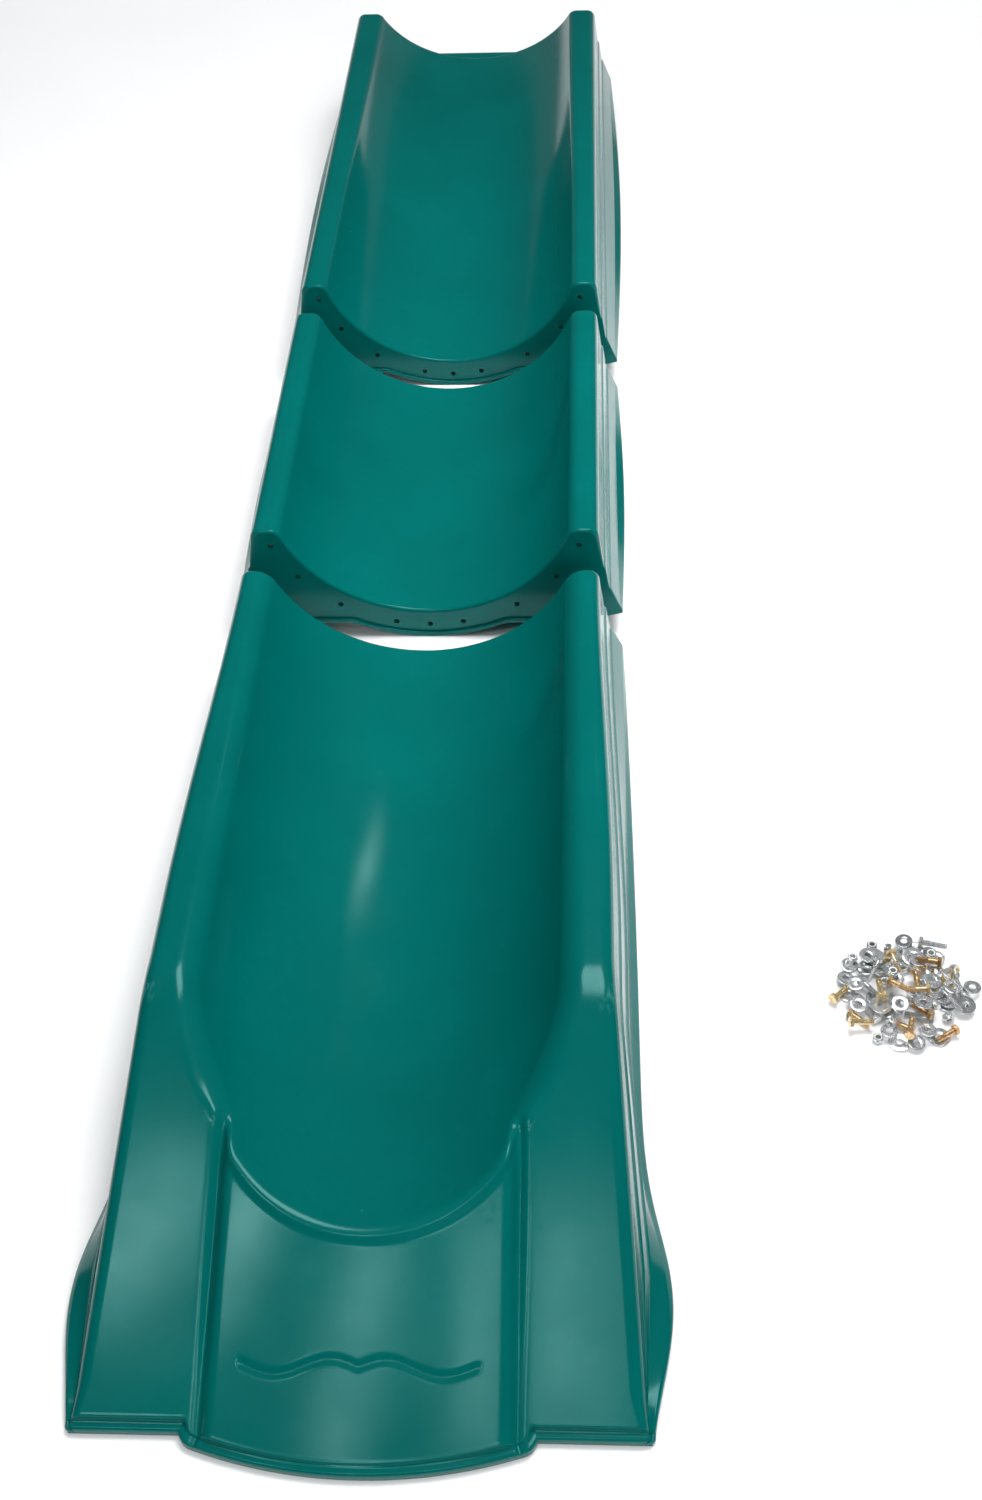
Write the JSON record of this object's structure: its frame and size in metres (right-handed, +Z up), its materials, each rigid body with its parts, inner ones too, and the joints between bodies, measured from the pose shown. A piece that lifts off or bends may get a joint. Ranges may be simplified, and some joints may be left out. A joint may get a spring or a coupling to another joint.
{
  "type": "straight slide",
  "caption": "Straight playground slide in separate moulded trough sections with flanged ends and a stepped skirt, laid out in line beside its loose bolts, nuts, washers and screws.",
  "frame": {"origin": "middle of the toe rim's ground face, on the slide's centre line", "axes": "+Y up the slide from the toe towards the deck end, +X to the right of someone looking up the slide, +Z up from the ground"},
  "size_m": [1.077, 3.1559, 0.205],
  "materials": {
    "moulded_green": "satin moulded polyethylene, teal green",
    "yellow_zinc": "yellow-passivated zinc on steel",
    "bright_zinc": "bright zinc on steel",
    "nylon_white": "natural nylon"
  },
  "bodies": {
    "exit_section": {"exit_section": "moulded_green"},
    "middle_section": {"middle_section": "moulded_green"},
    "top_section": {"top_section": "moulded_green"},
    "fixing_kit": {"flange_bolts": "yellow_zinc", "machine_bolts": "bright_zinc", "lock_nuts": "bright_zinc", "nut_inserts": "nylon_white", "flat_washers": "bright_zinc", "wide_washers": "bright_zinc", "deck_screws": "bright_zinc"}
  },
  "joints": [
    {"name": "middle_slide", "type": "slide", "parent": "exit_section", "child": "middle_section", "axis": [0, -1, 0], "range_m": [0, 0.0875]},
    {"name": "top_slide", "type": "slide", "parent": "middle_section", "child": "top_section", "axis": [0, -1, 0], "range_m": [0, 0.0845]},
    {"name": "kit_slide", "type": "slide", "parent": "exit_section", "child": "fixing_kit", "axis": [1, 0, 0], "range_m": [0, 0.15]}
  ]
}
